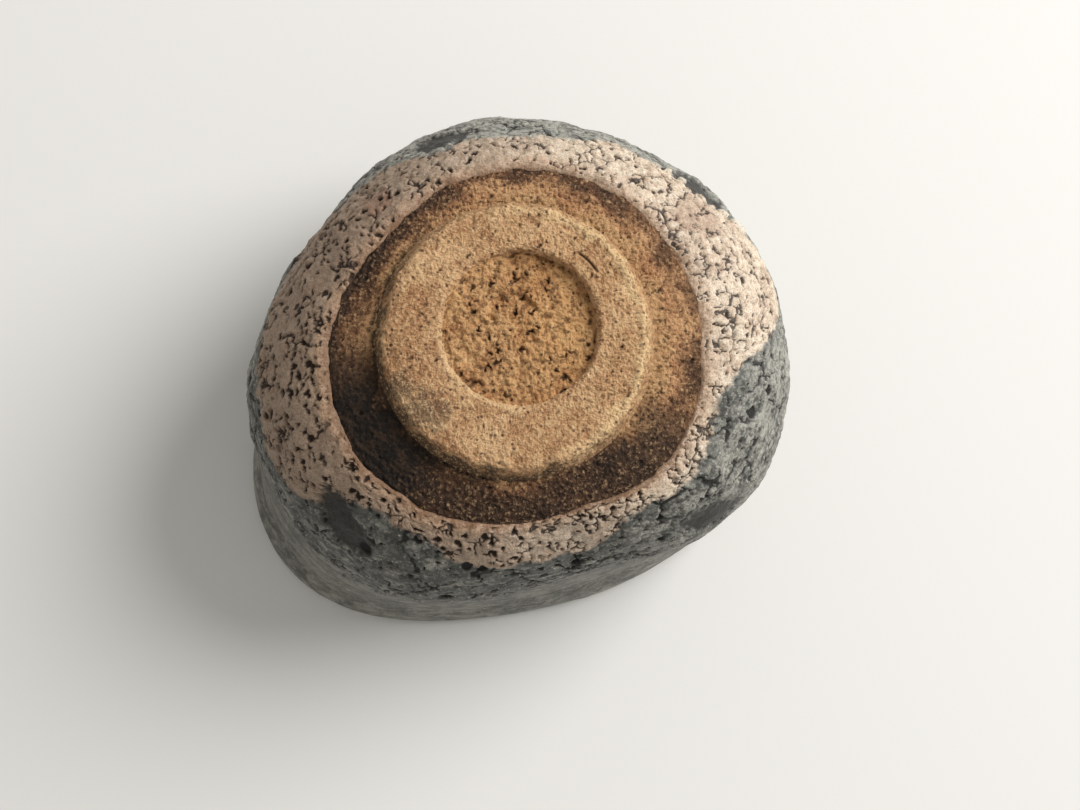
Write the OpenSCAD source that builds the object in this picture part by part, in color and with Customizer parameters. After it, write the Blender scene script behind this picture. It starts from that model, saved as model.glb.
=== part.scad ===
// Matcha bowl, pinched and pressed by hand, with a crawled white glaze over a
// grey one. It is turned over: it stands on its lip, with its foot uppermost,
// which is how a tea bowl is held up to be looked at. Turn it half a turn about
// the X axis to use it. The origin is under the middle of the bowl, on the
// surface that the lip stands on. Millimetres and degrees.
//
// The wall wanders in and out round the bowl. An outline is a mean radius and a
// few lobes, and each lobe is [times round the bowl, depth, direction of a crest].

/* [Bowl] */
// Height, from the lip up to the face of the foot
bowl_h = 76; // [70:1:84]
// Mean outside radius of the belly, the widest part
belly_r = 60.7; // [56:0.1:66]
// Height of the belly above the lip
belly_z = 37; // [34:1:40]
// Mean outside radius of the rim
rim_r = 61.9; // [58:0.1:66]
// How far the waist between belly and rim is drawn in
waist = 1.2; // [0:0.2:2.4]
// Share of the hand-made unevenness: 0 is a bowl thrown true
unevenness = 1; // [0:0.1:1.2]

/* [Clay] */
// Thickness of the wall at the belly, with its glaze
wall_t = 7; // [6:0.5:9]
// Thickness of the lip, with its glaze
lip_t = 5.4; // [4.6:0.2:6.4]
// Thickness of the base between the foot ring and the inside
base_t = 8.5; // [7:0.5:10]

/* [Foot] */
// Outside radius of the foot ring where it meets the base
foot_r = 30.5; // [28:0.5:33]
// Height of the foot ring
foot_h = 5.5; // [4.5:0.5:7]
// Draw of the ring's outer side, from the base up to its face
foot_draw = 0.9; // [0.4:0.1:1.5]
// Radius of the ring's worn outer edge
foot_edge = 2; // [0.6:0.2:3]
// Radius of the well inside the ring
well_r = 17; // [15:0.5:20]
// Depth of the well below the face of the ring
well_depth = 2; // [1.5:0.5:3.5]
// Height of the low boss in the middle of the well
boss_h = 0.6; // [0:0.2:1.4]
// Distance of the foot from the middle of the belly, along X
foot_x = -0.3; // [-2:0.1:2]
// Distance of the foot from the middle of the belly, along Y
foot_y = 1.6; // [-2:0.1:3]
// Distance of the well from the middle of the foot, along X
well_x = 1.1; // [-2:0.1:2]
// Distance of the well from the middle of the foot, along Y
well_y = 2.2; // [-2:0.1:3]

/* [Glaze] */
// Thickness of the glaze outside
glaze_t = 1.2; // [0.8:0.1:1.6]
// Thickness of the glaze inside
liner_t = 0.8; // [0.5:0.1:1.2]
// Mean share of the haunch, from foot to belly, that is left bare
bare_share = 0.23; // [0.18:0.01:0.27]
// Mean share of the haunch where the white glaze gives way to the grey
white_share = 0.55; // [0.52:0.01:0.58]
// Height of the smooth glaze on the rim
rim_glaze_h = 10; // [8:1:14]
// Radius of the pool where tea collects, in the floor of the bowl
pool_r = 18; // [14:1:21]
// Depth of that pool
pool_depth = 1.6; // [0.8:0.2:2.4]

/* [Hidden] */

belly_lobes = [[1, 0.8, 90], [2, 4.6, 17], [3, 2.5, 101], [4, 0.4, 65], [5, 0.9, 36]];
rim_lobes = [[1, 4.6, 240], [2, 5.5, 29], [3, 3.4, 98], [4, 1.2, 34], [6, 0.5, 39]];
bare_lobes = [[1, 0.035, 293], [2, 0.013, 84], [3, 0.015, 68]];
white_lobes = [
    [1, 0.079, 136], [2, 0.083, 6], [3, 0.13, 38], [4, 0.06, 17],
    [5, 0.031, 2], [6, 0.052, 22], [7, 0.026, 11], [8, 0.026, 18], [9, 0.027, 12],
];

seat_z = bowl_h - foot_h;
floor_z = seat_z - base_t;
pad_z = bowl_h - well_depth;
lip_c = lip_t / 2;
// The wall starts to flare at this share of the way from belly to rim
flare_start = 0.3;
// The rim glaze starts here on the same way
rim_start = 1 - (rim_glaze_h - lip_c) / (belly_z - lip_c);
// Share of the inside at which the wall is joined to the base
seam = 1.5;
// Share of the haunch that the rounded edge of the glaze takes up
glaze_edge = 0.02;
// The white band is nowhere narrower than this share of the haunch
least_band = 0.05;
// Nor does it reach further than this share of the haunch
most_band = 0.9;
// The side of the pool runs in by this much
pool_slope = 5;
// Radius of the well's edge in the foot ring
well_edge = 1;
// A cut runs past the faces it goes through by this much
cut = 1;

// Steps round the bowl, along each stretch of its profile, and round each edge
around = 72;
shoulder_steps = 3;
band_steps = 4;
haunch_steps = 5;
wall_steps = 5;
rim_steps = 2;
lip_steps = 6;
inner_wall_steps = 4;
inner_haunch_steps = 3;
edge_steps = 4;

angles = [for (i = [0 : around - 1]) i * 360 / around];

function sum(list) = list * [for (i = list) 1];
function ease(t) = t <= 0 ? 0 : t >= 1 ? 1 : t * t * (3 - 2 * t);
function mix(p, q, t) = p + (q - p) * t;
function ramp(p, q, n) = [for (i = [0 : n]) mix(p, q, i / n)];
function rest(list) = [for (i = [1 : len(list) - 1]) list[i]];
function flip(list) = [for (i = [len(list) - 1 : -1 : 0]) list[i]];
function lobes(list, a) = unevenness * sum([for (l = list) l[1] * cos(l[0] * (a - l[2]))]);

function belly(a) = belly_r + lobes(belly_lobes, a);
function rim(a) = rim_r + lobes(rim_lobes, a);
function bare_line(a) = bare_share + lobes(bare_lobes, a);
function white_line(a) =
    min(max(white_share + lobes(white_lobes, a), bare_line(a) + least_band), most_band);

// A point of the haunch: an elliptical arc from a round seat under the foot, at
// t = 0, to the belly, at t = 1. The seat is centred on the foot.
function haunch(a, t, seat_r, top, r) =
    let (out = sin(90 * t), up = cos(90 * t))
    [
        mix(foot_x + seat_r * cos(a), r * cos(a), out),
        mix(foot_y + seat_r * sin(a), r * sin(a), out),
        belly_z + (top - belly_z) * up,
    ];

// Outside radius of the wall, from the belly at v = 0 to the rim at v = 1
function wall_r(a, v) =
    mix(belly(a), rim(a), ease((v - flare_start) / (1 - flare_start)))
    - waist * pow(sin(180 * v), 2);

function wall_point(a, v, depth) =
    let (r = wall_r(a, v) - depth)
    [r * cos(a), r * sin(a), mix(belly_z, lip_c, v)];

// The outside at share s: 0 at the seat, 1 at the belly, 2 at the rim. Depth is
// measured in from the finished surface of the glaze.
function outside(a, s, depth) = s <= 1
    ? haunch(a, s, foot_r, seat_z + glaze_t - depth, belly(a) - depth)
    : wall_point(a, s - 1, depth);

// The inside at share s: 0 at the rim, 1 at the belly, 2 at the edge of the pool
function inside(a, s, depth) = s <= 1
    ? wall_point(a, 1 - s, mix(lip_t, wall_t, ease(s)) - depth)
    : haunch(a, 2 - s, pool_r, floor_z - liner_t + depth, belly(a) - wall_t + depth);

// The edge of the flat middle of the pool
function pool(a, depth) = [
    foot_x + (pool_r - pool_slope) * cos(a),
    foot_y + (pool_r - pool_slope) * sin(a),
    floor_z + pool_depth - liner_t + depth,
];

// A point of the lip: a half round from the outside, t = 0, to the inside, t = 1
function lip(a, t, out_depth, in_depth) =
    let (
        outer = wall_r(a, 1) - out_depth,
        inner = wall_r(a, 1) - lip_t + in_depth,
        r = mix((outer + inner) / 2, outer, cos(180 * t)),
        z = lip_c - (lip_c - out_depth) * sin(180 * t)
    )
    [r * cos(a), r * sin(a), z];

// Shares at which each stretch has its points
function shoulder_shares(a) = ramp(0, bare_line(a), shoulder_steps);
function band_shares(a) = concat(
    [bare_line(a), bare_line(a) + glaze_edge],
    rest(ramp(bare_line(a), white_line(a), band_steps))
);
function coat_shares(a) = concat(
    ramp(white_line(a), 1, haunch_steps),
    rest(ramp(1, 1 + rim_start, wall_steps))
);
rim_shares = ramp(1 + rim_start, 2, rim_steps);
wall_inside = concat(ramp(0, 1, inner_wall_steps), rest(ramp(1, seam, inner_haunch_steps)));
base_inside = ramp(seam, 2, inner_haunch_steps);
all_inside = concat(wall_inside, rest(base_inside));

function along_outside(a, shares, depth) = [for (s = shares) outside(a, s, depth)];
function along_inside(a, shares, depth) = [for (s = shares) inside(a, s, depth)];
function along_lip(a, out_depth, in_depth) =
    [for (i = [1 : lip_steps - 1]) lip(a, i / lip_steps, out_depth, in_depth)];

// The profile of each node in one direction: it runs down the outer side, away
// from the foot, and comes back on the side that faces the inside of the bowl
function base_profile(a) = concat(
    along_outside(a, shoulder_shares(a), glaze_t),
    rest(along_outside(a, band_shares(a), glaze_t)),
    along_inside(a, base_inside, liner_t),
    [pool(a, liner_t)]
);
function wall_profile(a) = concat(
    along_outside(a, coat_shares(a), glaze_t),
    rest(along_outside(a, rim_shares, glaze_t)),
    along_lip(a, glaze_t, liner_t),
    along_inside(a, wall_inside, liner_t)
);
function band_profile(a) = concat(
    [outside(a, band_shares(a)[0], glaze_t), outside(a, band_shares(a)[1], glaze_t / 3)],
    along_outside(a, rest(rest(band_shares(a))), 0),
    flip(along_outside(a, rest(band_shares(a)), glaze_t))
);
function coat_profile(a) = concat(
    along_outside(a, coat_shares(a), 0),
    flip(along_outside(a, coat_shares(a), glaze_t))
);
function lip_profile(a) = concat(
    along_outside(a, rim_shares, 0),
    along_lip(a, 0, 0),
    [inside(a, 0, 0), inside(a, 0, liner_t)],
    flip(along_lip(a, glaze_t, liner_t)),
    flip(along_outside(a, rim_shares, glaze_t))
);
function liner_profile(a) = concat(
    [pool(a, liner_t)],
    flip(along_inside(a, all_inside, liner_t)),
    along_inside(a, all_inside, 0),
    [pool(a, 0)]
);

// The middle of the bowl's box, so that the origin comes under it
skyline = [for (a = angles, s = ramp(0.8, 2, 12)) outside(a, s, 0)];
function box_middle(axis) =
    let (values = [for (p = skyline) p[axis]])
    (min(values) + max(values)) / 2;

module in_place() {
    translate([-box_middle(0), -box_middle(1), 0])
        children();
}

module on_foot() {
    in_place()
        translate([foot_x, foot_y, 0])
            children();
}

// Faces between step j of the profile and the next, in one direction and the next
function quad(near, far, j, next) = [
    [near + j, far + next, near + next],
    [near + j, far + j, far + next],
];

// A closed ring: every profile is a closed loop
module ring(profiles) {
    n = len(profiles);
    k = len(profiles[0]);
    faces = [
        for (i = [0 : n - 1], j = [0 : k - 1])
        each quad(i * k, ((i + 1) % n) * k, j, (j + 1) % k)
    ];
    polyhedron([for (p = profiles) each p], faces);
}

// A closed disc: the profiles are open, and flat caps close their two ends
module disc(profiles) {
    n = len(profiles);
    k = len(profiles[0]);
    sides = [
        for (i = [0 : n - 1], j = [0 : k - 2])
        each quad(i * k, ((i + 1) % n) * k, j, j + 1)
    ];
    foot_cap = [for (i = [n - 1 : -1 : 0]) i * k];
    pool_cap = [for (i = [0 : n - 1]) i * k + k - 1];
    polyhedron([for (p = profiles) each p], concat(sides, [foot_cap, pool_cap]));
}

// An arc of the foot ring's section, about a centre, from one direction to another
function arc(c, r, from, to) =
    [for (a = ramp(from, to, edge_steps)) [c[0] + r * cos(a), c[1] + r * sin(a)]];

// Base of the pot: the slab under the foot, with the bare shoulder round it and
// the haunch as far as the white glaze goes
module clay_base() {
    color("peru")
        in_place()
            disc([for (a = angles) base_profile(a)]);
}

// Wall of the pot, from the haunch to the lip
module clay_wall() {
    color("sienna")
        in_place()
            ring([for (a = angles) wall_profile(a)]);
}

// Foot ring: flat on its face, with a worn outer edge. The well is cut through
// it off its centre, as a turning tool leaves it.
module foot_ring() {
    color("tan")
        on_foot()
            difference() {
                rotate_extrude($fn = 96)
                    polygon(concat(
                        [[0, seat_z], [foot_r, seat_z]],
                        arc([foot_r - foot_draw - foot_edge, bowl_h - foot_edge], foot_edge, 0, 90),
                        [[0, bowl_h]]
                    ));
                translate([well_x, well_y, 0])
                    rotate_extrude($fn = 96)
                        polygon(concat(
                            [[0, seat_z - cut], [well_r, seat_z - cut]],
                            arc([well_r + well_edge, bowl_h - well_edge], well_edge, 180, 90),
                            [[well_r + well_edge, bowl_h + cut], [0, bowl_h + cut]]
                        ));
            }
}

// Rough floor of the well inside the ring, with a low boss in the middle
module foot_well() {
    color("burlywood")
        on_foot()
            translate([well_x, well_y, 0])
                rotate_extrude($fn = 96)
                    polygon(concat(
                        [[0, seat_z], [well_r, seat_z]],
                        [for (t = ramp(1, 0, 8)) [well_r * t, pad_z + boss_h * (1 - ease(t))]]
                    ));
}

// Crawled white glaze, from the bare clay down the haunch
module white_glaze_band() {
    color("linen")
        in_place()
            ring([for (a = angles) band_profile(a)]);
}

// Pitted grey glaze, from the white down over the belly to the rim
module grey_glaze_coat() {
    color("slategray")
        in_place()
            ring([for (a = angles) coat_profile(a)]);
}

// Smooth grey glaze on the rim, over the lip and just inside
module lip_glaze() {
    color("darkgray")
        in_place()
            ring([for (a = angles) lip_profile(a)]);
}

// Thin glaze on the inside, down into the pool
module inner_glaze_coat() {
    color("lightsteelblue")
        in_place()
            disc([for (a = angles) liner_profile(a)]);
}

clay_base();
clay_wall();
foot_ring();
foot_well();
white_glaze_band();
grey_glaze_coat();
lip_glaze();
inner_glaze_coat();
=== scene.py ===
"""The looks of a hand-shaped matcha bowl, turned over on its lip.

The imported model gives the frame: the clay, the foot ring and the coats of glaze
stand where it says. Each coat is modelled again here as a fine mesh that is
thrown true, squeezed to the hand-made outline, and then pitted, cracked and
dented the way the real glaze is. Lengths are in metres, and angles in degrees
go round the bowl from +X towards +Y.
"""

from __future__ import annotations

import logging
import math
from dataclasses import dataclass
from enum import Enum
from typing import Any, Callable, Sequence

import bpy
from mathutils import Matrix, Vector

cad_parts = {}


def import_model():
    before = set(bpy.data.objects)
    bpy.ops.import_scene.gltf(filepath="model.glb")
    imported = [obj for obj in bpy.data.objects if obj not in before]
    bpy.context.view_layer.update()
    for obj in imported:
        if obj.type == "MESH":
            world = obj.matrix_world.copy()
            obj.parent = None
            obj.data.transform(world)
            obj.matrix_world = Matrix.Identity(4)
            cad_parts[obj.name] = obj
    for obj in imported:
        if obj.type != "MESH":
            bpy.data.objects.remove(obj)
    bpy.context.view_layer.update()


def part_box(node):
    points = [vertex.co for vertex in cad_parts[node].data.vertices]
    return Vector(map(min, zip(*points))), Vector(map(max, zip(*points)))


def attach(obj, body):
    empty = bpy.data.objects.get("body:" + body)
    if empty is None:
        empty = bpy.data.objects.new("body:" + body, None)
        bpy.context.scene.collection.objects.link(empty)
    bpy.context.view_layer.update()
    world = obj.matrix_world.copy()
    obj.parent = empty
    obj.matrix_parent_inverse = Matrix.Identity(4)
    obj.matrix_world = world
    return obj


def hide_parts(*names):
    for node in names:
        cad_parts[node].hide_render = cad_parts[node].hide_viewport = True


log = logging.getLogger("matcha_bowl")

MM = 0.001
HAUNCH_MM = 50  # about the length of the haunch, from the seat to the belly
Lobe = tuple[int, float, float]
Colour = tuple[float, float, float]


class Mask(Enum):
    """Names of the values that a mesh carries from its making to its finish."""

    SHARE = "share"
    DEPTH = "depth"
    PIT = "pit"
    CRACK = "crack"
    PRINT = "print"
    WHITE = "white"
    RAISED = "raised"
    FLUSH = "flush"


class Cell(Enum):
    """Kinds of cell pattern."""

    ROUND = "F1"
    SOFT = "SMOOTH_F1"
    EDGE = "DISTANCE_TO_EDGE"


def srgb(red: int, green: int, blue: int) -> Colour:
    """Linear colour of an 8-bit display colour.

    Args:
        red: Red, 0 to 255.
        green: Green, 0 to 255.
        blue: Blue, 0 to 255.

    Returns:
        The three linear values, 0 to 1.
    """

    def linear(byte: int) -> float:
        """One value without its display curve."""
        value = byte / 255
        return value / 12.92 if value <= 0.04045 else ((value + 0.055) / 1.055) ** 2.4

    return (linear(red), linear(green), linear(blue))


# ---------------------------------------------------------------- node trees


@dataclass
class Socket:
    """An output in a node tree that Python arithmetic adds nodes to.

    Args:
        tree: The node tree that the output belongs to.
        out: The output socket.
    """

    tree: Any
    out: Any

    def calc(self, operation: str, *values: Any) -> "Socket":
        """One Math node on these values.

        Args:
            operation: The node's operation.
            values: Its inputs, each a Socket or a number.

        Returns:
            The node's result.
        """
        node = self.tree.nodes.new("ShaderNodeMath")
        node.operation = operation
        for slot, value in zip(node.inputs, values):
            plug(self.tree, slot, value)
        return Socket(self.tree, node.outputs[0])

    def __add__(self, other: Any) -> "Socket":
        """Sum."""
        return self.calc("ADD", self, other)

    def __sub__(self, other: Any) -> "Socket":
        """Difference."""
        return self.calc("SUBTRACT", self, other)

    def __rsub__(self, other: Any) -> "Socket":
        """Difference the other way round."""
        return self.calc("SUBTRACT", other, self)

    def __mul__(self, other: Any) -> "Socket":
        """Product."""
        return self.calc("MULTIPLY", self, other)

    def __truediv__(self, other: Any) -> "Socket":
        """Quotient."""
        return self.calc("DIVIDE", self, other)

    __radd__ = __add__
    __rmul__ = __mul__

    def abs(self) -> "Socket":
        """Size without sign."""
        return self.calc("ABSOLUTE", self)

    def low(self, other: Any) -> "Socket":
        """The smaller of the two."""
        return self.calc("MINIMUM", self, other)

    def high(self, other: Any) -> "Socket":
        """The larger of the two."""
        return self.calc("MAXIMUM", self, other)

    def cos(self) -> "Socket":
        """Cosine of radians."""
        return self.calc("COSINE", self)

    def root(self) -> "Socket":
        """Square root."""
        return self.calc("SQRT", self)

    def ease(self, start: float, end: float) -> "Socket":
        """Smooth step between two values.

        Args:
            start: Where it is 0.
            end: Where it is 1, above or below the start.

        Returns:
            The step, from 0 to 1.
        """
        node = self.tree.nodes.new("ShaderNodeMapRange")
        node.interpolation_type = "SMOOTHSTEP"
        flip = start > end
        low, high = min(start, end), max(start, end)
        for name, value in (("From Min", low), ("From Max", high)):
            node.inputs[name].default_value = value
        node.inputs["To Min"].default_value = 1.0 if flip else 0.0
        node.inputs["To Max"].default_value = 0.0 if flip else 1.0
        plug(self.tree, node.inputs["Value"], self)
        return Socket(self.tree, node.outputs["Result"])


def highest(values: Sequence[Socket]) -> Socket:
    """The largest of several values.

    Args:
        values: The values, one or more.

    Returns:
        The largest at each place.
    """
    top = values[0]
    for value in values[1:]:
        top = top.high(value)
    return top


def plug(tree: Any, slot: Any, value: Any) -> None:
    """Link an output to a node's input, or set the input's own value.

    Args:
        tree: The node tree.
        slot: The input socket.
        value: A Socket to link, or a plain value to set.
    """
    if isinstance(value, Socket):
        tree.links.new(value.out, slot)
    elif slot.type == "RGBA" and len(value) == 3:
        slot.default_value = (*value, 1.0)
    else:
        slot.default_value = value


class Tree:
    """Builds nodes in one tree, for a finish or for a modifier.

    Args:
        nodes: The node tree to build in.
    """

    def __init__(self, nodes: Any) -> None:
        """Keep the node tree to build in."""
        self.tree = nodes

    def add(self, kind: str, settings: dict | None = None, **values: Any) -> Any:
        """Add a node, with its settings first and then its inputs.

        Args:
            kind: The node's type name.
            settings: Settings of the node itself.
            values: Input values, with the input's name written with underscores.

        Returns:
            The new node.
        """
        node = self.tree.nodes.new(kind)
        for name, value in (settings or {}).items():
            setattr(node, name, value)
        for name, value in values.items():
            plug(self.tree, node.inputs[name.replace("_", " ")], value)
        return node

    def take(self, node: Any, name: str | int = 0) -> Socket:
        """An output of a node as a Socket."""
        return Socket(self.tree, node.outputs[name])

    def vector(self, operation: str, *values: Any) -> Socket:
        """One Vector Math node on these values.

        Args:
            operation: The node's operation.
            values: Its inputs, each a Socket or a vector.

        Returns:
            The node's result.
        """
        node = self.tree.nodes.new("ShaderNodeVectorMath")
        node.operation = operation
        slots = [s for s in node.inputs if s.enabled]
        for slot, value in zip(slots, values):
            plug(self.tree, slot, value)
        outputs = [s for s in node.outputs if s.enabled]
        return Socket(self.tree, outputs[0])

    def join(self, x: Any, y: Any, z: Any) -> Socket:
        """A vector from its three parts."""
        return self.take(self.add("ShaderNodeCombineXYZ", X=x, Y=y, Z=z))

    def split(self, vector: Socket) -> tuple[Socket, Socket, Socket]:
        """The three parts of a vector."""
        node = self.add("ShaderNodeSeparateXYZ", Vector=vector)
        return tuple(self.take(node, i) for i in range(3))

    def noise(self, at: Socket, scale: float, detail: float = 2.0,
              roughness: float = 0.5) -> Socket:
        """Smooth noise between 0 and 1.

        Args:
            at: The place, in millimetres.
            scale: Lumps to a millimetre.
            detail: How many finer layers it has.
            roughness: How strong each finer layer is.

        Returns:
            The noise.
        """
        node = self.add(
            "ShaderNodeTexNoise", Vector=at, Scale=scale, Detail=detail, Roughness=roughness
        )
        return self.take(node, 0)

    def cells(self, at: Socket, scale: float, kind: Cell = Cell.ROUND) -> Any:
        """A cell pattern with so many cells to a millimetre."""
        return self.add("ShaderNodeTexVoronoi", {"feature": kind.value}, Vector=at, Scale=scale)

    def mix(self, share: Any, first: Any, second: Any) -> Socket:
        """Mix two colours.

        Args:
            share: How much of the second there is, 0 to 1.
            first: The first colour.
            second: The second colour.

        Returns:
            The mixed colour.
        """
        node = self.tree.nodes.new("ShaderNodeMix")
        node.data_type = "RGBA"
        slots = [s for s in node.inputs if s.enabled]
        for slot, value in zip(slots, (share, first, second)):
            plug(self.tree, slot, value)
        return Socket(self.tree, next(s for s in node.outputs if s.enabled))

    def wash(self, colour: Any, *washes: tuple[Any, Any]) -> Socket:
        """Lay thin washes over a colour, one after another.

        Args:
            colour: The colour that they go over.
            washes: How thick each wash is, 0 to 1, and its colour.

        Returns:
            The colour with every wash on it.
        """
        for thick, over in washes:
            colour = self.mix(thick, colour, over)
        return colour


# ---------------------------------------------------------------- the outline


@dataclass(frozen=True)
class Outline:
    """The hand-made form: a mean radius with lobes, between foot, belly and rim.

    All sizes are in millimetres in the potter's own frame, whose origin is under
    the middle of the belly. A lobe is its number round the bowl, its size and
    the direction of its first crest, in degrees.
    """

    belly_r: float = 60.7
    rim_r: float = 61.9
    belly_z: float = 37.0
    seat_z: float = 70.5
    floor_z: float = 62.0
    foot_r: float = 30.5
    foot_x: float = -0.3
    foot_y: float = 1.6
    well_x: float = 1.1
    well_y: float = 2.2
    well_r: float = 17.0
    pool_r: float = 18.0
    pool_depth: float = 1.6
    pool_slope: float = 5.0
    wall_t: float = 7.0
    lip_t: float = 5.4
    glaze_t: float = 1.2
    liner_t: float = 0.8
    waist: float = 1.2
    flare_start: float = 0.3
    rim_glaze_h: float = 10.0
    bare_share: float = 0.23
    white_share: float = 0.55
    least_band: float = 0.05
    most_band: float = 0.9
    belly_lobes: tuple[Lobe, ...] = (
        (1, 0.8, 90), (2, 4.6, 17), (3, 2.5, 101), (4, 0.4, 65), (5, 0.9, 36))
    rim_lobes: tuple[Lobe, ...] = (
        (1, 4.6, 240), (2, 5.5, 29), (3, 3.4, 98), (4, 1.2, 34), (6, 0.5, 39))
    bare_lobes: tuple[Lobe, ...] = (
        (1, 0.035, 293), (2, 0.013, 84), (3, 0.015, 68), (7, 0.005, 12), (11, 0.004, 50),
        (17, 0.003, 8), (29, 0.002, 3), (43, 0.002, 5), (71, 0.0015, 2))
    white_lobes: tuple[Lobe, ...] = (
        (1, 0.079, 136), (2, 0.083, 6), (3, 0.13, 38), (4, 0.06, 17), (5, 0.031, 2),
        (6, 0.052, 22), (7, 0.026, 11), (8, 0.026, 18), (9, 0.027, 12),
        (13, 0.012, 14), (19, 0.008, 9), (29, 0.006, 4))

    @property
    def rim_start(self) -> float:
        """Share of the outside at which the rim's glaze starts."""
        lip = self.lip_t / 2
        return 2 - (self.rim_glaze_h - lip) / (self.belly_z - lip)

    @staticmethod
    def lobes(turn: float, lobes: Sequence[Lobe]) -> float:
        """Sum of the lobes in one direction."""
        return sum(d * math.cos(math.radians(n * (turn - a))) for n, d, a in lobes)

    def bare(self, turn: float) -> float:
        """Share of the haunch that is bare in this direction."""
        return self.bare_share + self.lobes(turn, self.bare_lobes)

    def white(self, turn: float) -> float:
        """Share of the haunch where the white glaze ends in this direction."""
        share = self.white_share + self.lobes(turn, self.white_lobes)
        return min(max(share, self.bare(turn) + self.least_band), self.most_band)

    def haunch(self, turn: float, t: float, seat_r: float, top: float, r: float) -> Vector:
        """A point of an arc from a round seat to the belly.

        Args:
            turn: Direction, in degrees.
            t: How far along the arc it is, from the seat at 0 to the belly at 1.
            seat_r: Radius of the seat.
            top: Height of the seat.
            r: Radius of the belly in this direction.

        Returns:
            The point, in millimetres.
        """
        c, s = math.cos(math.radians(turn)), math.sin(math.radians(turn))
        out, up = math.sin(math.pi / 2 * t), math.cos(math.pi / 2 * t)
        return Vector((
            (self.foot_x + seat_r * c) * (1 - out) + r * c * out,
            (self.foot_y + seat_r * s) * (1 - out) + r * s * out,
            self.belly_z + (top - self.belly_z) * up,
        ))

    def wall(self, turn: float, v: float, depth: float) -> Vector:
        """A point of the wall.

        Args:
            turn: Direction, in degrees.
            v: How far down the wall it is, from the belly at 0 to the rim at 1.
            depth: Depth under the outside.

        Returns:
            The point, in millimetres.
        """
        belly = self.belly_r + self.lobes(turn, self.belly_lobes)
        rim = self.rim_r + self.lobes(turn, self.rim_lobes)
        r = belly + (rim - belly) * ease((v - self.flare_start) / (1 - self.flare_start))
        r -= self.waist * math.sin(math.pi * v) ** 2 + depth
        angle = math.radians(turn)
        z = self.belly_z + (self.lip_t / 2 - self.belly_z) * v
        return Vector((r * math.cos(angle), r * math.sin(angle), z))

    def outside(self, turn: float, share: float, depth: float) -> Vector:
        """A point of the outside.

        Args:
            turn: Direction, in degrees.
            share: 0 at the seat, 1 at the belly and 2 at the rim.
            depth: Depth under the outside.

        Returns:
            The point, in millimetres.
        """
        if share > 1:
            return self.wall(turn, share - 1, depth)
        belly = self.belly_r + self.lobes(turn, self.belly_lobes)
        top = self.seat_z + self.glaze_t - depth
        return self.haunch(turn, share, self.foot_r, top, belly - depth)

    def inside(self, turn: float, share: float, depth: float) -> Vector:
        """A point of the inside.

        Args:
            turn: Direction, in degrees.
            share: 0 at the rim, 1 at the belly and 2 at the pool.
            depth: Depth under the inside.

        Returns:
            The point, in millimetres.
        """
        if share <= 1:
            thick = self.lip_t + (self.wall_t - self.lip_t) * ease(share)
            return self.wall(turn, 1 - share, thick - depth)
        belly = self.belly_r + self.lobes(turn, self.belly_lobes)
        top = self.floor_z - self.liner_t + depth
        return self.haunch(turn, 2 - share, self.pool_r, top, belly - self.wall_t + depth)

    def lip(self, turn: float, t: float, out_depth: float, in_depth: float) -> Vector:
        """A point of the half-round lip.

        Args:
            turn: Direction, in degrees.
            t: 0 at the outside and 1 at the inside.
            out_depth: Depth under the outside.
            in_depth: Depth under the inside.

        Returns:
            The point, in millimetres.
        """
        edge = self.wall(turn, 1, 0)
        rim = math.hypot(edge.x, edge.y)
        outer, inner = rim - out_depth, rim - self.lip_t + in_depth
        middle = (outer + inner) / 2
        r = middle + (outer - middle) * math.cos(math.pi * t)
        half = self.lip_t / 2
        z = half - (half - out_depth) * math.sin(math.pi * t)
        angle = math.radians(turn)
        return Vector((r * math.cos(angle), r * math.sin(angle), z))


def ease(t: float) -> float:
    """Smooth step from 0 to 1."""
    t = min(max(t, 0.0), 1.0)
    return t * t * (3 - 2 * t)


def steps(start: float, end: float, count: int, last: bool = True) -> list[float]:
    """Evenly spaced values from start to end, with or without the last one."""
    return [start + (end - start) * i / count for i in range(count + last)]


# ---------------------------------------------------------------- throwing


Station = tuple[float, float]  # a ring's share and depth
Place = Callable[[float, float, float], Vector]


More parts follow.
